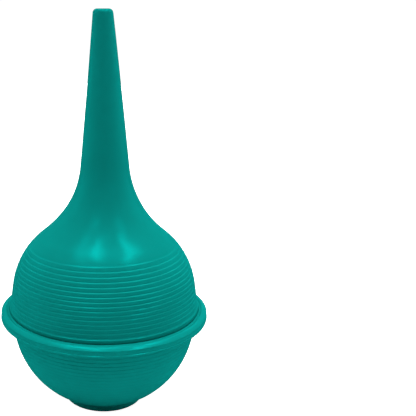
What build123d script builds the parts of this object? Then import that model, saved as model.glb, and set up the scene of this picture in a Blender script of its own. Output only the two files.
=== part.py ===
from build123d import *
import math
import os

# A squeeze bulb moulded in soft plastic as two halves. The nozzle half is the tapered nozzle, the flared
# neck and the ribbed dome. The cup is the flange, the ribbed bowl and the foot. The dome's skirt pushes
# into a channel round the top of the cup and can be pulled out again for cleaning.
# Lengths are millimetres. The origin is the centre of the foot's underside and +Z runs up the nozzle.

# Wall, ribs and fits
wall = 2.5
rib_pitch = 1.315
dome_rib_step = 0.20
bowl_rib_step = 0.10
fit_clearance = 0.05

# Nozzle
overall_height = 127.2
bore_radius = 1.25
bore_length = 14.0
tip_rounding = 1.6
nozzle_taper = 5.63
neck_radius = 7.73
neck_height = 79.3

# Flare between the nozzle and the dome; the pulls set how far each end of the curve stays straight
shoulder_radius = 20.5
shoulder_height = 56.8
shoulder_slope = 50.9
neck_pull = 8.7
shoulder_pull = 10.0

# Dome, down to the lip that hides the top of the joint
dome_curve_radius = 25.5
dome_foot_slope = 8.8
first_dome_rib_height = 53.7
dome_ribs = 15
lip_height = 33.65
lip_step = 0.18

# Push-fit joint between the halves
skirt_outer_radius = 30.5
skirt_step_height = 32.6
skirt_inner_radius = 28.1
skirt_bottom_height = 30.6
channel_floor_height = 30.4
channel_mouth_width = 0.6
channel_mouth_depth = 0.75
collar_height = 34.0
collar_thickness = 1.7

# Flange round the top of the cup
flange_radius = 33.9
flange_top_height = 32.95
flange_edge_height = 31.8
flange_bottom_height = 29.5
flange_crest_radius = 32.4
flange_dish_depth = 0.55
flange_slope_width = 0.7
flange_slope_height = 0.63
flange_ridge_height = 30.0
flange_ridge_step = 0.22
flange_edge_rounding = 0.3
flange_root_chamfer = 0.8

# Bowl and foot
bowl_radius = 29.95
bowl_centre_height = 29.0
first_bowl_rib_height = 27.0
bowl_ribs = 15
foot_radius = 13.1
foot_rounding = 0.8

os.makedirs("parts", exist_ok=True)


def leaning(point, slope, distance):
    """The point a distance down a line that leans out from the axis by slope degrees."""
    angle = math.radians(slope)
    return (point[0] + distance * math.sin(angle), point[1] - distance * math.cos(angle))


def inside(point, slope, depth=wall):
    """The point a depth under a surface that leans out from the axis by slope degrees."""
    angle = math.radians(slope)
    return (point[0] - depth * math.cos(angle), point[1] - depth * math.sin(angle))


def stretched(handle, outer_start, outer_end, inner_start, inner_end):
    """A curve handle scaled from the outer wall's flare to the inner wall's flare."""
    return handle * math.dist(inner_start, inner_end) / math.dist(outer_start, outer_end)


def stepped(radius_at, first_height, count, step):
    """Outline points of ribs from the top down: at each height the wall steps out by a small ledge."""
    points = []
    for index in range(count):
        height = first_height - index * rib_pitch
        radius = radius_at(height)
        points.append((radius - step / 2, height))
        points.append((radius + step / 2, height))
    return points


# Dome geometry: an arc from the shoulder, then a straight drum wall that leans out to the lip
dome_centre = inside((shoulder_radius, shoulder_height), shoulder_slope, dome_curve_radius)
drum_top = inside(dome_centre, dome_foot_slope, -dome_curve_radius)


def dome_radius_at(height):
    """Outside radius of the dome, without its ribs."""
    if height < drum_top[1]:
        return drum_top[0] + (drum_top[1] - height) * math.tan(math.radians(dome_foot_slope))
    rise = height - dome_centre[1]
    return dome_centre[0] + math.sqrt(dome_curve_radius**2 - rise**2)


def bowl_radius_at(height, shell_radius=bowl_radius):
    """Radius of the bowl's sphere at a height; the inner wall has a smaller shell radius."""
    return math.sqrt(shell_radius**2 - (height - bowl_centre_height) ** 2)


# Nozzle half, outside: tip, taper, flare, shoulder arc, ribs, drum wall, lip and skirt
neck = (neck_radius, neck_height)
shoulder = (shoulder_radius, shoulder_height)
taper_rise = overall_height - neck_height
tip_radius = neck_radius - taper_rise * math.tan(math.radians(nozzle_taper))
lip_radius = dome_radius_at(lip_height)
dome_steps = stepped(dome_radius_at, first_dome_rib_height, dome_ribs, dome_rib_step)
first_step_angle = math.degrees(math.acos((dome_steps[0][0] - dome_centre[0]) / dome_curve_radius))

# Nozzle half, inside: the wall follows the outside at one thickness and ends in the skirt's bore
inner_neck = inside(neck, nozzle_taper)
inner_shoulder = inside(shoulder, shoulder_slope)
inner_drum_top = inside(drum_top, dome_foot_slope)
inner_neck_pull = stretched(neck_pull, neck, shoulder, inner_neck, inner_shoulder)
inner_shoulder_pull = stretched(shoulder_pull, neck, shoulder, inner_neck, inner_shoulder)
skirt_bore_top = inner_drum_top[1] - (skirt_inner_radius - inner_drum_top[0]) / math.tan(
    math.radians(dome_foot_slope)
)
bore_bottom_height = overall_height - bore_length

with BuildPart() as nozzle_half:
    with BuildSketch(Plane.XZ):
        with BuildLine():
            Line((bore_radius, overall_height), (tip_radius, overall_height))
            Line((tip_radius, overall_height), neck)
            Bezier(
                neck,
                leaning(neck, nozzle_taper, neck_pull),
                leaning(shoulder, shoulder_slope, -shoulder_pull),
                shoulder,
            )
            shoulder_arc = CenterArc(
                dome_centre, dome_curve_radius, shoulder_slope, first_step_angle - shoulder_slope
            )
            Polyline(
                shoulder_arc @ 1,
                *dome_steps[1:],
                (lip_radius, lip_height),
                (lip_radius + lip_step, lip_height - lip_step),
                (lip_radius + lip_step, skirt_step_height),
                (skirt_outer_radius, skirt_step_height - lip_step),
                (skirt_outer_radius, skirt_bottom_height),
                (skirt_inner_radius, skirt_bottom_height),
                (skirt_inner_radius, skirt_bore_top),
                inner_drum_top,
            )
            CenterArc(
                dome_centre, dome_curve_radius - wall, dome_foot_slope, shoulder_slope - dome_foot_slope
            )
            Bezier(
                inner_shoulder,
                leaning(inner_shoulder, shoulder_slope, -inner_shoulder_pull),
                leaning(inner_neck, nozzle_taper, inner_neck_pull),
                inner_neck,
            )
            Polyline(inner_neck, (bore_radius, bore_bottom_height), (bore_radius, overall_height))
        make_face()
    revolve(axis=Axis.Z)
    tip_edges = nozzle_half.edges().filter_by(GeomType.CIRCLE).group_by(Axis.Z)[-1]
    fillet(tip_edges.sort_by(SortBy.RADIUS)[-1], radius=tip_rounding)

nozzle_half.part.label = "nozzle_half"
export_step(nozzle_half.part, "parts/nozzle_half.step")

# Cup rim: the flange with its channel, the collar inside the skirt and a short piece of the bowl's wall
channel_outer_radius = skirt_outer_radius + fit_clearance
collar_radius = skirt_inner_radius - fit_clearance
collar_bore_radius = collar_radius - collar_thickness
mouth_radius = channel_outer_radius + channel_mouth_width
mouth_bottom_height = flange_top_height - channel_mouth_depth
face_radius = flange_radius - flange_ridge_step
slope_radius = flange_radius - flange_slope_width
slope_height = flange_edge_height + flange_slope_height
inner_bowl_radius = bowl_radius - wall
bowl_top_height = flange_bottom_height - flange_root_chamfer
bowl_top_radius = bowl_radius_at(bowl_top_height)
bowl_top_bore_radius = bowl_radius_at(bowl_top_height, inner_bowl_radius)
collar_chamfer = collar_thickness / 4

with BuildPart() as cup_rim:
    with BuildSketch(Plane.XZ):
        with BuildLine():
            Polyline(
                (collar_bore_radius, collar_height),
                (collar_radius - collar_chamfer, collar_height),
                (collar_radius, collar_height - collar_chamfer),
                (collar_radius, channel_floor_height),
                (channel_outer_radius, channel_floor_height),
                (channel_outer_radius, mouth_bottom_height),
                (mouth_radius, flange_top_height - flange_dish_depth),
                (flange_crest_radius, flange_top_height),
                (slope_radius, slope_height),
                (flange_radius, flange_edge_height),
                (face_radius, flange_ridge_height + flange_ridge_step),
                (flange_radius, flange_ridge_height),
                (flange_radius, flange_bottom_height),
                (bowl_top_radius + flange_root_chamfer, flange_bottom_height),
                (bowl_top_radius, bowl_top_height),
                (bowl_top_bore_radius, bowl_top_height),
                (collar_bore_radius, channel_floor_height),
                (collar_bore_radius, collar_height),
            )
        make_face()
    revolve(axis=Axis.Z)
    flange_edges = cup_rim.edges().filter_by(GeomType.CIRCLE).group_by(SortBy.RADIUS)[-1]
    fillet(flange_edges.sort_by(Axis.Z)[0], radius=flange_edge_rounding)

cup_rim.part.label = "cup_rim"
export_step(cup_rim.part, "parts/cup_rim.step")

# Cup wall: the ribbed bowl between the rim and the foot, the part that folds up when the foot is pressed
foot_height = bowl_centre_height - math.sqrt(bowl_radius**2 - foot_radius**2)
foot_bore_radius = bowl_radius_at(foot_height, inner_bowl_radius)
bowl_steps = stepped(bowl_radius_at, first_bowl_rib_height, bowl_ribs, bowl_rib_step)
middle_height = (bowl_top_height + foot_height) / 2
lower_height = (bowl_steps[-1][1] + foot_height) / 2

with BuildPart() as cup_wall:
    with BuildSketch(Plane.XZ):
        with BuildLine():
            Polyline((bowl_top_radius, bowl_top_height), *bowl_steps)
            ThreePointArc(
                bowl_steps[-1],
                (bowl_radius_at(lower_height), lower_height),
                (foot_radius, foot_height),
            )
            Line((foot_radius, foot_height), (foot_bore_radius, foot_height))
            ThreePointArc(
                (foot_bore_radius, foot_height),
                (bowl_radius_at(middle_height, inner_bowl_radius), middle_height),
                (bowl_top_bore_radius, bowl_top_height),
            )
            Line((bowl_top_bore_radius, bowl_top_height), (bowl_top_radius, bowl_top_height))
        make_face()
    revolve(axis=Axis.Z)

cup_wall.part.label = "cup_wall"
export_step(cup_wall.part, "parts/cup_wall.step")

# Foot: the flat disc that the bulb stands on and the thumb presses; it closes the bottom of the bowl
with BuildPart() as cup_foot:
    with BuildSketch():
        Circle(foot_radius)
    extrude(amount=foot_height)
    fillet(cup_foot.faces().sort_by(Axis.Z)[0].edges(), radius=foot_rounding)

cup_foot.part.label = "cup_foot"
export_step(cup_foot.part, "parts/cup_foot.step")
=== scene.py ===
import math

import bpy
import numpy as np
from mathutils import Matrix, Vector


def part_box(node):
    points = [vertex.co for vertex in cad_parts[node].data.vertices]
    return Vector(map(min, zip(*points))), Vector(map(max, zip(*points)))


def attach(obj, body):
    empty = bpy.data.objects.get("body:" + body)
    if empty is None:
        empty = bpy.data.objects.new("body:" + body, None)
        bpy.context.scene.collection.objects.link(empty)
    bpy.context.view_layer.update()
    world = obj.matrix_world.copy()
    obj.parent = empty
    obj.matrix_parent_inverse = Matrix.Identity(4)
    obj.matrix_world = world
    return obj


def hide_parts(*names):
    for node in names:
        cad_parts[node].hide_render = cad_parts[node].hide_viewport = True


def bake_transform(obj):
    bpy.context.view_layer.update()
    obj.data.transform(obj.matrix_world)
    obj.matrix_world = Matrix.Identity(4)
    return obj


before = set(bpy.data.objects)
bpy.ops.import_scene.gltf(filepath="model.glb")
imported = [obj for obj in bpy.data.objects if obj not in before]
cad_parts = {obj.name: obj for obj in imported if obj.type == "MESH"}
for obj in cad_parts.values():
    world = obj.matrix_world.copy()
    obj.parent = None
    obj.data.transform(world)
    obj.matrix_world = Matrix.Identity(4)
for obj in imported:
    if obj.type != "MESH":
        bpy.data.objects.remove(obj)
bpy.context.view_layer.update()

# A teal soft plastic squeeze bulb: a nozzle half pushed into the channel of a cup. The bulb's lengths are
# millimetres until MM turns them into the metres of the frame. Floor, lights and camera are in metres.
MM = 0.001


def top_of(node):
    """Highest point of a CAD node, in millimetres."""
    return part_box(node)[1].z / MM


def bottom_of(node):
    """Lowest point of a CAD node, in millimetres."""
    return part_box(node)[0].z / MM


def radius_of(node):
    """Largest radius of a CAD node, in millimetres."""
    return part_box(node)[1].x / MM


# ---------------------------------------------------------------- sizes

# Most are the CAD part's. The ribs, the lip, the flange's top and the foot's height have their own values
# here, because this model shows more of their shape.

WALL = 2.5
RIB_PITCH = 1.315

OVERALL_HEIGHT = top_of("nozzle_half")
BORE_RADIUS = 1.25
BORE_LENGTH = 14.0
TIP_ROUNDING = 1.344
BORE_ROUNDING = 0.25
NOZZLE_TAPER = math.radians(5.63)
NECK = (7.73, 79.3)

SHOULDER = (20.5, 56.8)
SHOULDER_SLOPE = math.radians(50.9)
NECK_PULL = 8.7
SHOULDER_PULL = 10.0
BORE_BOTTOM = OVERALL_HEIGHT - BORE_LENGTH

DOME_CURVE_RADIUS = 25.5
DRUM_SLOPE = math.radians(8.8)
FIRST_DOME_RIB = 53.7
DOME_RIBS = 15
LAST_DOME_RIB = FIRST_DOME_RIB - DOME_RIBS * RIB_PITCH
LIP_HEIGHT = 33.65
LIP_STEP = 0.22

SKIRT_OUTER = 30.5
SKIRT_STEP = 32.55
SKIRT_INNER = 28.1
SKIRT_BOTTOM = bottom_of("nozzle_half")
CHANNEL_FLOOR = 30.4
FIT_CLEARANCE = 0.05
COLLAR_THICKNESS = 1.7
COLLAR_TOP = top_of("cup_rim")

FLANGE_RADIUS = radius_of("cup_rim")
FLANGE_CREST = 32.65
FLANGE_CREST_RADIUS = 32.2
FLANGE_BOTTOM = 29.5
FLANGE_EDGE = 31.55

BOWL_RADIUS = 29.95
BOWL_CENTRE = 29.0
FIRST_BOWL_RIB = 27.0
BOWL_RIBS = 15
LAST_BOWL_RIB = FIRST_BOWL_RIB - BOWL_RIBS * RIB_PITCH
BOWL_TOP = top_of("cup_wall")
FOOT_TOP = 2.5
FLAT_START = 19.5
FLAT_LIFT = 0.45
FOOT_RADIUS = radius_of("cup_foot")
FOOT_ROUNDING = 0.8
FOOT_RING_WIDTH = 3.3
FOOT_RECESS_DEPTH = 0.25


# ---------------------------------------------------------------- outlines: lists of (radius, height)


def leaning(point, slope, distance):
    """The point a distance down a line that leans out from the axis by slope."""
    return (point[0] + distance * math.sin(slope), point[1] - distance * math.cos(slope))


def inside(point, slope, depth=WALL):
    """The point a depth under a surface that leans out from the axis by slope."""
    return (point[0] - depth * math.cos(slope), point[1] - depth * math.sin(slope))


def line(start, end, count):
    """Points from start to end, both included."""
    t = np.linspace(0, 1, count)
    return [(start[0] + (end[0] - start[0]) * a, start[1] + (end[1] - start[1]) * a) for a in t]


def bezier(a, b, c, d, count):
    """Points on the cubic curve with control points a, b, c and d."""
    points = []
    for t in np.linspace(0, 1, count):
        u = 1 - t
        weights = (u**3, 3 * u * u * t, 3 * u * t * t, t**3)
        points.append(tuple(sum(w * p[k] for w, p in zip(weights, (a, b, c, d))) for k in (0, 1)))
    return points


def arc(centre, radius, start, end, count):
    """Points on an arc; the angles are measured up from the outward direction."""
    angles = np.linspace(start, end, count)
    return [(centre[0] + radius * math.cos(a), centre[1] + radius * math.sin(a)) for a in angles]


def turned(vector, angle):
    """A 2-D vector turned anticlockwise by an angle."""
    cosine, sine = math.cos(angle), math.sin(angle)
    return Vector((vector.x * cosine - vector.y * sine, vector.x * sine + vector.y * cosine))


def corner_arc(before, corner, after, segments):
    """The points that round off a corner, or the corner alone if its rounding is 0."""
    here, rounding = Vector(corner[:2]), corner[2]
    if rounding <= 0:
        return [tuple(here)]
    to_before = (Vector(before[:2]) - here).normalized()
    to_after = (Vector(after[:2]) - here).normalized()
    half_angle = to_before.angle(to_after) / 2
    reach = rounding / math.tan(half_angle)
    centre = here + (to_before + to_after).normalized() * (rounding / math.sin(half_angle))
    first = here + to_before * reach - centre
    last = here + to_after * reach - centre
    sweep = first.angle_signed(last)
    return [tuple(centre + turned(first, -sweep * step / segments)) for step in range(segments + 1)]


def divided(points, longest):
    """The same open outline, with no run longer than longest."""
    full = [points[0]]
    for start, end in zip(points, points[1:]):
        count = max(1, math.ceil(math.dist(start, end) / longest))
        full += line(start, end, count + 1)[1:]
    return full


def rounded(corners, segments=6, longest=2.0):
    """An open outline through corners given as (radius, height, rounding), with long runs divided."""
    points = [corners[0][:2]]
    for before, corner, after in zip(corners, corners[1:], corners[2:]):
        points += corner_arc(before, corner, after, segments)
    points.append(corners[-1][:2])
    return divided(points, longest)


dome_centre = inside(SHOULDER, SHOULDER_SLOPE, DOME_CURVE_RADIUS)
drum_top = inside(dome_centre, DRUM_SLOPE, -DOME_CURVE_RADIUS)
inner_drum_top = inside(drum_top, DRUM_SLOPE)


def dome_radius_at(height):
    """Outside radius of the dome without ribs; takes numbers or arrays."""
    height = np.asarray(height, float)
    drum = drum_top[0] + (drum_top[1] - height) * math.tan(DRUM_SLOPE)
    rise = np.clip(height - dome_centre[1], 0, DOME_CURVE_RADIUS)
    return np.where(height < drum_top[1], drum, dome_centre[0] + np.sqrt(DOME_CURVE_RADIUS**2 - rise**2))


def bowl_radius_at(height, shell_radius=BOWL_RADIUS):
    """Radius of the bowl's sphere at a height."""
    return np.sqrt(shell_radius**2 - (np.asarray(height, float) - BOWL_CENTRE) ** 2)


# One rib pitch from the top down, as (share of the pitch, share of the step): a short bevel that faces up and
# out, a rounded crest, and a long face that falls back to the next bevel
RIB_SHAPE = (
    (0.00, 0.00),
    (0.03, 0.24),
    (0.06, 0.42),
    (0.09, 0.50),
    (0.13, 0.48),
    (0.19, 0.42),
    (0.32, 0.27),
    (0.50, 0.05),
    (0.70, -0.20),
    (0.86, -0.40),
    (0.92, -0.47),
    (0.95, -0.42),
    (0.975, -0.22),
)


def ribbed(radius_at, first, count, step_at):
    """Outline down a ribbed wall, starting in the middle of the first rib's bevel."""
    points = []
    for index in range(count):
        for share, offset in RIB_SHAPE:
            height = first - (index + share) * RIB_PITCH
            points.append((float(radius_at(height)) + offset * step_at(index / count), height))
    return points


# ---------------------------------------------------------------- meshes

SEGMENTS = 192
ON_AXIS = 1e-6
SHARP_ANGLE = math.radians(40)


def lathe_rings(outline, place, crest_at, sideways):
    """The points of a lathed outline, their crest values, and each ring's point indices."""
    angles = np.arange(SEGMENTS) * (2 * math.pi / SEGMENTS)
    points, crests, rings = [], [], []
    for radius, height in outline:
        if radius < ON_AXIS:
            rings.append([len(points)])
            points.append((0.0, 0.0, height))
            crests.append(0.0)
            continue
        radii, heights = np.full(SEGMENTS, radius), np.full(SEGMENTS, height)
        if place:
            radii, heights = place(radii, heights, angles)
        rings.append(range(len(points), len(points) + SEGMENTS))
        offset = sideways(height) if sideways else 0.0
        points += list(zip(radii * np.cos(angles) + offset, radii * np.sin(angles), heights))
        crests += [crest_at(radius, height) if crest_at else 0.0] * SEGMENTS
    return points, crests, rings


def lathe_faces(rings):
    """Faces from each ring to the next, and from the last to the first; a ring on the axis is one point."""
    faces = []
    for lower, upper in zip(rings, rings[1:] + rings[:1]):
        if len(lower) == 1 and len(upper) == 1:
            continue
        for k in range(SEGMENTS):
            n = (k + 1) % SEGMENTS
            if len(lower) == 1:
                faces.append((lower[0], upper[n], upper[k]))
            elif len(upper) == 1:
                faces.append((lower[k], lower[n], upper[0]))
            else:
                faces.append((lower[k], lower[n], upper[n], upper[k]))
    return faces


def lathe(name, outline, place=None, crest_at=None, sideways=None):
    """A closed solid of revolution from a closed outline given anticlockwise.

    place may move the points of a ring, crest_at gives the crest value that the material reads, and sideways
    shifts a whole ring along X.
    """
    points, crests, rings = lathe_rings(outline, place, crest_at, sideways)
    mesh = bpy.data.meshes.new(name)
    mesh.from_pydata([tuple(c * MM for c in p) for p in points], [], lathe_faces(rings))
    mesh.validate()
    attribute = mesh.attributes.new("crest", "FLOAT", "POINT")
    attribute.data.foreach_set("value", np.array(crests, np.float32))
    mesh.shade_smooth()
    mesh.set_sharp_from_angle(angle=SHARP_ANGLE)
    piece = bpy.data.objects.new(name, mesh)
    bpy.context.scene.collection.objects.link(piece)
    return piece


def rib_crest(radius_at, first, count, step_at):
    """How far a point of the outer wall stands out on its rib, from 0 in a valley to 1 on a crest."""

    def crest_at(radius, height):
        index = (first - height) / RIB_PITCH
        if not 0 <= index < count:
            return 0.0
        stands_out = radius - float(radius_at(height))
        return float(np.clip(stands_out / step_at(index / count) + 0.5, 0, 1))

    return crest_at


def dome_step(share):
    """Height of the dome's rib step; the ribs get shallower towards the lip."""
    return 0.22 - 0.14 * share**3


def bowl_step(share):
    """Height of the bowl's rib step; the ribs fade out towards the foot."""
    return 0.10 - 0.08 * share


# ---- nozzle half

RIB_TILT = math.tan(math.radians(0.8))
TILT_FADE = 3.0


def sway(height):
    """Sideways set of the nozzle, which isn't quite straight, at a height."""
    t = np.clip((height - SHOULDER[1]) / (OVERALL_HEIGHT - SHOULDER[1]), 0, 1)
    rise = np.clip(t / 0.2, 0, 1)
    return 0.34 * rise * rise * (3 - 2 * rise) - 0.67 * t**2.2


def tilted_ribs(radii, heights, angles):
    """The dome's ribs sit slightly out of square to the axis; the wall itself keeps its shape."""
    height = heights[0]
    if radii[0] < float(dome_radius_at(min(height, SHOULDER[1]))) - WALL / 2 or height > SHOULDER[1]:
        return radii, heights
    fade_in = np.clip((height - LAST_DOME_RIB + RIB_PITCH) / TILT_FADE, 0, 1)
    fade_out = np.clip((SHOULDER[1] - height) / TILT_FADE, 0, 1)
    moved = heights + RIB_TILT * fade_in * fade_out * radii * np.cos(angles)
    return radii + dome_radius_at(moved) - dome_radius_at(heights), moved


def nozzle_outline():
    """From the bore over the tip, down the nozzle and the flared neck to the shoulder."""
    tip_radius = NECK[0] - (OVERALL_HEIGHT - NECK[1]) * math.tan(NOZZLE_TAPER)
    corners = [
        (BORE_RADIUS, OVERALL_HEIGHT - 1.0, 0),
        (BORE_RADIUS, OVERALL_HEIGHT, BORE_ROUNDING),
        (tip_radius, OVERALL_HEIGHT, TIP_ROUNDING),
        (*NECK, 0),
    ]
    neck_end = leaning(NECK, NOZZLE_TAPER, NECK_PULL)
    shoulder_end = leaning(SHOULDER, SHOULDER_SLOPE, -SHOULDER_PULL)
    return rounded(corners, segments=12) + bezier(NECK, neck_end, shoulder_end, SHOULDER, 36)[1:]


def dome_outline():
    """From the shoulder down the smooth crown and the ribs."""
    first_angle = math.asin((FIRST_DOME_RIB + 0.3 - dome_centre[1]) / DOME_CURVE_RADIUS)
    crown = arc(dome_centre, DOME_CURVE_RADIUS, SHOULDER_SLOPE, first_angle, 8)[1:]
    return crown + ribbed(dome_radius_at, FIRST_DOME_RIB, DOME_RIBS, dome_step)


def skirt_outline():
    """From the last rib over the lip, round the skirt and up to the inside of the drum."""
    lip_radius = float(dome_radius_at(LIP_HEIGHT))
    bore_top = inner_drum_top[1] - (SKIRT_INNER - inner_drum_top[0]) / math.tan(DRUM_SLOPE)
    corners = [
        (float(dome_radius_at(LAST_DOME_RIB - 0.2)), LAST_DOME_RIB - 0.2, 0),
        (lip_radius, LIP_HEIGHT + 0.1, 0.04),
        (lip_radius + LIP_STEP, LIP_HEIGHT - 0.06, 0.05),
        (lip_radius + LIP_STEP - 0.02, SKIRT_STEP, 0.1),
        (SKIRT_OUTER, SKIRT_STEP - 0.3, 0.1),
        (SKIRT_OUTER, SKIRT_BOTTOM, 0.3),
        (SKIRT_INNER, SKIRT_BOTTOM, 0.3),
        (SKIRT_INNER, bore_top, 1.0),
        (*inner_drum_top, 0),
    ]
    return rounded(corners, segments=5)


def inner_outline():
    """From the inside of the drum up the dome and the neck to the bottom of the bore."""
    inner_neck = inside(NECK, NOZZLE_TAPER)
    inner_shoulder = inside(SHOULDER, SHOULDER_SLOPE)
    pull_scale = math.dist(inner_neck, inner_shoulder) / math.dist(NECK, SHOULDER)
    shoulder_end = leaning(inner_shoulder, SHOULDER_SLOPE, -SHOULDER_PULL * pull_scale)
    neck_end = leaning(inner_neck, NOZZLE_TAPER, NECK_PULL * pull_scale)
    dome = arc(dome_centre, DOME_CURVE_RADIUS - WALL, DRUM_SLOPE, SHOULDER_SLOPE, 28)
    flare = bezier(inner_shoulder, shoulder_end, neck_end, inner_neck, 24)
    passage = line(inner_neck, (BORE_RADIUS, BORE_BOTTOM), 12)
    return dome[1:] + flare[1:] + passage[1:]


def make_nozzle_half():
    """Nozzle, flared neck, ribbed dome and skirt."""
    outline = (nozzle_outline() + dome_outline() + skirt_outline() + inner_outline())[::-1]
    crest = rib_crest(dome_radius_at, FIRST_DOME_RIB, DOME_RIBS, dome_step)
    return lathe("nozzle_half_moulding", outline, tilted_ribs, crest, sway)


# ---- cup


# Strengths of the painted highlight on the flange's ridge and band. They also sharpen the gloss there.
RIDGE_PAINTED_HIGHLIGHT_AND_GLOSS = 3.0
BAND_PAINTED_HIGHLIGHT_AND_GLOSS = 1.6


def rim_painted_highlight_and_gloss(radius, height):
    """Flange crest value: painted highlight and sharper gloss on the ridge under the face and band over it.
    """
    on_ridge = radius > FLANGE_RADIUS - 0.28 and FLANGE_BOTTOM + 0.3 < height < FLANGE_BOTTOM + 0.72
    on_band = radius > FLANGE_CREST_RADIUS and height > FLANGE_EDGE + 0.05
    return RIDGE_PAINTED_HIGHLIGHT_AND_GLOSS if on_ridge else BAND_PAINTED_HIGHLIGHT_AND_GLOSS if on_band else 0.0


def make_cup_rim():
    """Flange with a thin ring beside its channel, and the collar that fits inside the skirt."""
    channel_outer = SKIRT_OUTER + FIT_CLEARANCE
    collar = SKIRT_INNER - FIT_CLEARANCE
    bowl_top_radius = float(bowl_radius_at(BOWL_TOP))
    bowl_top_bore = float(bowl_radius_at(BOWL_TOP, BOWL_RADIUS - WALL))
    root = FLANGE_BOTTOM - BOWL_TOP
    corners = [
        (bowl_top_bore, BOWL_TOP, 0),
        (bowl_top_radius, BOWL_TOP, 0),
        (bowl_top_radius + 0.05, BOWL_TOP + root * 0.55, 0.4),
        (FLANGE_RADIUS - 1.1, FLANGE_BOTTOM - 0.1, 0.3),
        (FLANGE_RADIUS - 0.14, FLANGE_BOTTOM - 0.05, 0.3),
        (FLANGE_RADIUS, FLANGE_BOTTOM + 0.5, 0.05),
        (FLANGE_RADIUS - 0.22, FLANGE_BOTTOM + 0.66, 0.06),
        (FLANGE_RADIUS - 0.14, FLANGE_EDGE, 0.08),
        (FLANGE_RADIUS - 0.75, FLANGE_EDGE + 0.5, 1.2),
        (FLANGE_CREST_RADIUS, FLANGE_CREST, 0.8),
        (channel_outer + 1.15, FLANGE_CREST - 0.4, 0.2),
        (channel_outer + 0.7, FLANGE_CREST - 0.16, 0.12),
        (channel_outer + 0.35, FLANGE_CREST - 0.35, 0.1),
        (channel_outer, FLANGE_CREST - 0.5, 0.1),
        (channel_outer, CHANNEL_FLOOR, 0.1),
        (collar, CHANNEL_FLOOR, 0.1),
        (collar, COLLAR_TOP, 0.4),
        (collar - COLLAR_THICKNESS, COLLAR_TOP, 0.3),
        (collar - COLLAR_THICKNESS, CHANNEL_FLOOR, 0.8),
        (bowl_top_bore, BOWL_TOP, 0),
    ]
    return lathe("cup_rim_moulding", rounded(corners, segments=8)[:-1], crest_at=rim_painted_highlight_and_gloss)


def bowl_lift(radius, height):
    """How far the bowl lies above its sphere: it flattens a little towards the foot."""
    if height > BOWL_CENTRE / 2 or radius < float(bowl_radius_at(height)) - WALL / 2:
        return 0.0
    t = float(np.clip((FLAT_START - radius) / (FLAT_START - FOOT_RADIUS), 0, 1))
    return FLAT_LIFT * t * t * (3 - 2 * t)


def bowl_angle(height, shell_radius=BOWL_RADIUS):
    """Angle at which the bowl's sphere is at a height, measured up from the outward direction."""
    return math.asin((height - BOWL_CENTRE) / shell_radius)


def make_cup_wall():
    """The ribbed bowl, from under the flange to the foot."""
    centre, inner_shell = (0, BOWL_CENTRE), BOWL_RADIUS - WALL
    outline = arc(centre, BOWL_RADIUS, bowl_angle(BOWL_TOP), bowl_angle(FIRST_BOWL_RIB + 0.15), 8)
    outline += ribbed(bowl_radius_at, FIRST_BOWL_RIB, BOWL_RIBS, bowl_step)
    foot_angle = -math.acos(FOOT_RADIUS / BOWL_RADIUS)
    outline += arc(centre, BOWL_RADIUS, bowl_angle(LAST_BOWL_RIB - 0.1), foot_angle, 20)
    inner_ends = bowl_angle(FOOT_TOP, inner_shell), bowl_angle(BOWL_TOP, inner_shell)
    outline += arc(centre, inner_shell, *inner_ends, 48)
    lifted = [(radius, height + bowl_lift(radius, height)) for radius, height in outline[::-1]]
    crest = rib_crest(bowl_radius_at, FIRST_BOWL_RIB, BOWL_RIBS, bowl_step)
    return lathe("cup_wall_moulding", lifted, crest_at=crest)


def make_cup_foot():
    """The flat foot, with a shallow moulded recess under it."""
    corners = [
        (0, FOOT_RECESS_DEPTH, 0),
        (FOOT_RADIUS - FOOT_RING_WIDTH - 0.3, FOOT_RECESS_DEPTH, 0.3),
        (FOOT_RADIUS - FOOT_RING_WIDTH, 0, 0.15),
        (FOOT_RADIUS, 0, FOOT_ROUNDING),
        (FOOT_RADIUS, FOOT_TOP, 0),
        (0, FOOT_TOP, 0),
    ]
    return lathe("cup_foot_moulding", rounded(corners, segments=8))


# ---------------------------------------------------------------- materials


# Noise scales are per metre and bump distances are metres.


def nodes_of(material):
    """The node tree of a fresh material, with its Principled shader."""
    material.use_nodes = True
    tree = material.node_tree
    return tree, tree.nodes["Principled BSDF"]


def noise(tree, place, scale, detail, rough):
    """A noise value in the piece's own coordinates."""
    node = tree.nodes.new("ShaderNodeTexNoise")
    node.inputs["Scale"].default_value = scale
    node.inputs["Detail"].default_value = detail
    node.inputs["Roughness"].default_value = rough
    tree.links.new(place, node.inputs["Vector"])
    return node.outputs["Fac"]


def spread(tree, value, low, high):
    """The usual run of a noise value, 0.3 to 0.7, spread from low to high."""
    node = tree.nodes.new("ShaderNodeMapRange")
    node.inputs["From Min"].default_value = 0.3
    node.inputs["From Max"].default_value = 0.7
    node.inputs["To Min"].default_value = low
    node.inputs["To Max"].default_value = high
    tree.links.new(value, node.inputs["Value"])
    return node.outputs["Result"]


def calculate(tree, operation, a, b):
    """The result of a math node; a is a socket, b a socket or a number."""
    node = tree.nodes.new("ShaderNodeMath")
    node.operation = operation
    tree.links.new(a, node.inputs[0])
    if isinstance(b, float):
        node.inputs[1].default_value = b
    else:
        tree.links.new(b, node.inputs[1])
    return node.outputs[0]


def bump(tree, height, strength, distance):
    """A bump node over a height value."""
    node = tree.nodes.new("ShaderNodeBump")
    node.inputs["Strength"].default_value = strength
    node.inputs["Distance"].default_value = distance
    tree.links.new(height, node.inputs["Height"])
    return node


def mottled_colour_and_painted_highlight(tree, colour, cloud, grain, crest):
    """The pigment, clouded and grained, with a painted highlight that makes it paler on crests."""
    shade = calculate(tree, "ADD", spread(tree, cloud, -0.035, 0.035), spread(tree, grain, -0.012, 0.012))
    # Painted highlight: the colour gets paler with the crest value, on the rib crests and on the flange.
    shade = calculate(tree, "ADD", shade, calculate(tree, "MULTIPLY", crest, 0.05))
    tint = tree.nodes.new("ShaderNodeHueSaturation")
    tint.inputs["Color"].default_value = (*colour, 1)
    tree.links.new(calculate(tree, "ADD", shade, 1.0), tint.inputs["Value"])
    return tint.outputs["Color"]


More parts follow.
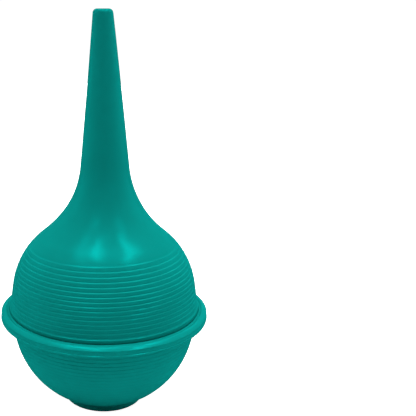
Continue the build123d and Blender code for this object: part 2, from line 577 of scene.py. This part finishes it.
def tinted_sheen(tree, gloss_tint, roughness, smudge, crest):
    """A gloss in the plastic's own hue, smudged, and a little sharper where the surface is crested."""
    gloss = calculate(tree, "ADD", spread(tree, smudge, -0.015, 0.02), roughness)
    gloss = calculate(tree, "SUBTRACT", gloss, calculate(tree, "MULTIPLY", crest, 0.02))
    sheen = tree.nodes.new("ShaderNodeBsdfGlossy")
    sheen.inputs["Color"].default_value = (*gloss_tint, 1)
    tree.links.new(gloss, sheen.inputs["Roughness"])
    return sheen


def mould_surface(tree, grain, wave):
    """The normal of the moulded surface: fine grain over a broad, shallow waviness."""
    fine = bump(tree, grain, 0.2, 0.00002)
    broad = bump(tree, wave, 0.5, 0.00025)
    tree.links.new(fine.outputs["Normal"], broad.inputs["Normal"])
    return broad.outputs["Normal"]


def soft_pvc(name, colour, gloss_tint, roughness):
    """Moulded soft PVC: a matt pigmented body with a tinted sheen on it."""
    material = bpy.data.materials.new(name)
    tree, body = nodes_of(material)
    place = tree.nodes.new("ShaderNodeTexCoord").outputs["Object"]
    cloud = noise(tree, place, 90, 3, 0.5)
    smudge = noise(tree, place, 260, 4, 0.6)
    grain = noise(tree, place, 5200, 2, 0.6)
    wave = noise(tree, place, 45, 1, 0.4)
    crest_node = tree.nodes.new("ShaderNodeAttribute")
    crest_node.attribute_name = "crest"
    crest = crest_node.outputs["Fac"]

    tree.links.new(mottled_colour_and_painted_highlight(tree, colour, cloud, grain, crest), body.inputs["Base Color"])
    body.inputs["Specular IOR Level"].default_value = 0.0
    body.inputs["Roughness"].default_value = 0.6
    sheen = tinted_sheen(tree, gloss_tint, roughness, smudge, crest)
    normal = mould_surface(tree, grain, wave)
    both = tree.nodes.new("ShaderNodeAddShader")
    for layer, socket in zip((body, sheen), both.inputs):
        tree.links.new(normal, layer.inputs["Normal"])
        tree.links.new(layer.outputs["BSDF"], socket)
    tree.links.new(both.outputs["Shader"], tree.nodes["Material Output"].inputs["Surface"])
    return material


WHITE = (1, 1, 1, 1)
FLOOR_GLOW = 0.96


def pale_floor():
    """A plain pale floor with a faint mottle, which glows to the camera and so looks as white as paper."""
    material = bpy.data.materials.new("pale_floor")
    tree, shader = nodes_of(material)
    mottle = tree.nodes.new("ShaderNodeTexNoise")
    mottle.inputs["Scale"].default_value = 6
    ramp = tree.nodes.new("ShaderNodeMapRange")
    ramp.inputs["To Min"].default_value = 0.93
    ramp.inputs["To Max"].default_value = 0.97
    tree.links.new(mottle.outputs["Fac"], ramp.inputs["Value"])
    tree.links.new(ramp.outputs["Result"], shader.inputs["Base Color"])
    shader.inputs["Roughness"].default_value = 0.9
    shader.inputs["Specular IOR Level"].default_value = 0.1
    shader.inputs["Emission Color"].default_value = WHITE
    ray = tree.nodes.new("ShaderNodeLightPath")
    glow = tree.nodes.new("ShaderNodeMath")
    glow.operation = "MULTIPLY"
    glow.inputs[1].default_value = FLOOR_GLOW
    tree.links.new(ray.outputs["Is Camera Ray"], glow.inputs[0])
    tree.links.new(glow.outputs["Value"], shader.inputs["Emission Strength"])
    return material


# ---------------------------------------------------------------- the pieces on their bodies

TEAL = (0.0021, 0.235, 0.209)
TEAL_SHEEN = (0.0, 0.05, 0.0465)
SHEEN_ROUGHNESS = 0.25

teal = soft_pvc("moulded_teal", TEAL, TEAL_SHEEN, SHEEN_ROUGHNESS)
pieces = [
    (make_nozzle_half(), "nozzle_half", "nozzle_half"),
    (make_cup_rim(), "cup_rim", "cup"),
    (make_cup_foot(), "cup_foot", "foot"),
]
for piece, node, body in pieces:
    piece.data.materials.append(teal)
    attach(piece, body)
    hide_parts(node)

bowl = make_cup_wall()
bowl.data.materials.append(teal)
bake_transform(bowl)
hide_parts("cup_wall")


# ---------------------------------------------------------------- floor, light and camera

FLOOR_REACH = 6.0
AIM_HEIGHT = 65.44 * MM
WORLD_FILL = 0.08
PAPER_WHITE = 1.05


def make_floor():
    """A wide flat floor, left out of the plastic's reflections."""
    mesh = bpy.data.meshes.new("floor")
    corners = [(-1, -1), (1, -1), (1, 1), (-1, 1)]
    mesh.from_pydata([(x * FLOOR_REACH, y * FLOOR_REACH, 0) for x, y in corners], [], [(0, 1, 2, 3)])
    floor = bpy.data.objects.new("floor", mesh)
    floor.data.materials.append(pale_floor())
    bpy.context.scene.collection.objects.link(floor)
    floor.visible_glossy = False


def softbox(name, place, width, height, power, gloss=True):
    """A rectangular area light that faces the bulb; without gloss it gives no highlight."""
    data = bpy.data.lights.new(name, "AREA")
    data.shape = "RECTANGLE"
    data.size, data.size_y = width, height
    data.energy = power
    light = bpy.data.objects.new(name, data)
    light.location = place
    towards = Vector((0, 0, AIM_HEIGHT)) - Vector(place)
    light.rotation_euler = towards.to_track_quat("-Z", "Y").to_euler()
    light.visible_camera = False
    light.visible_glossy = gloss
    bpy.context.scene.collection.objects.link(light)


def make_world():
    """A faint even fill that the camera sees as white paper."""
    world = bpy.data.worlds.new("studio")
    bpy.context.scene.world = world
    world.use_nodes = True
    world.cycles_visibility.glossy = False
    nodes, link = world.node_tree.nodes, world.node_tree.links.new
    fill = nodes["Background"]
    fill.inputs["Color"].default_value = WHITE
    fill.inputs["Strength"].default_value = WORLD_FILL
    paper = nodes.new("ShaderNodeBackground")
    paper.inputs["Color"].default_value = WHITE
    paper.inputs["Strength"].default_value = PAPER_WHITE
    mix = nodes.new("ShaderNodeMixShader")
    link(nodes.new("ShaderNodeLightPath").outputs["Is Camera Ray"], mix.inputs["Fac"])
    link(fill.outputs["Background"], mix.inputs[1])
    link(paper.outputs["Background"], mix.inputs[2])
    link(mix.outputs["Shader"], nodes["World Output"].inputs["Surface"])


def make_camera():
    """The camera looks down at the bulb, and is framed with the bulb left of the picture's middle."""
    pitch = math.radians(15.06)
    distance = 241.3 * MM
    data = bpy.data.cameras.new("camera")
    data.sensor_width = 36
    data.lens = 65.25
    data.shift_x = 0.25
    camera = bpy.data.objects.new("camera", data)
    camera.location = (0, -distance * math.cos(pitch), AIM_HEIGHT + distance * math.sin(pitch))
    camera.rotation_euler = (math.pi / 2 - pitch, 0, 0)
    bpy.context.scene.collection.objects.link(camera)
    bpy.context.scene.camera = camera


make_floor()

# The strips and softboxes show in the sheen, as streaks on the shoulder and the ribs. The panels don't.
softbox("right_strip", (0.44, -0.05, 1.0), 0.5, 0.08, 1.7)
softbox("left_strip", (-0.18, -0.08, 1.0), 0.5, 0.08, 1.4)
softbox("right_front_strip", (0.62, -0.5, 1.0), 0.4, 0.09, 0.5)
softbox("left_front_strip", (-0.36, -0.6, 1.0), 0.4, 0.09, 0.4)
softbox("front_softbox", (0.1, -0.4, 1.0), 0.15, 0.15, 0.1)
softbox("far_right_strip", (0.56, 0.2, 1.0), 0.4, 0.12, 0.5)
softbox("far_left_strip", (-0.42, 0.0, 1.0), 0.6, 0.12, 0.8)
softbox("middle_softbox", (0.08, 0.1, 1.0), 0.2, 0.7, 1.3)
softbox("top_panel", (0.0, 0.0, 1.1), 0.7, 0.7, 7.6, gloss=False)
softbox("right_rim_softbox", (0.45, 0.65, 0.68), 0.3, 0.3, 0.7)
softbox("left_rim_softbox", (-0.45, 0.65, 0.68), 0.3, 0.3, 0.7)
softbox("right_panel", (0.96, 0.3, 0.2), 0.5, 0.5, 4.3, gloss=False)
softbox("left_panel", (-0.96, 0.3, 0.2), 0.5, 0.5, 3.9, gloss=False)
softbox("back_panel", (0.2, 0.97, 0.25), 0.5, 0.5, 4.0, gloss=False)

make_world()
make_camera()
bpy.context.scene.view_settings.view_transform = "Standard"
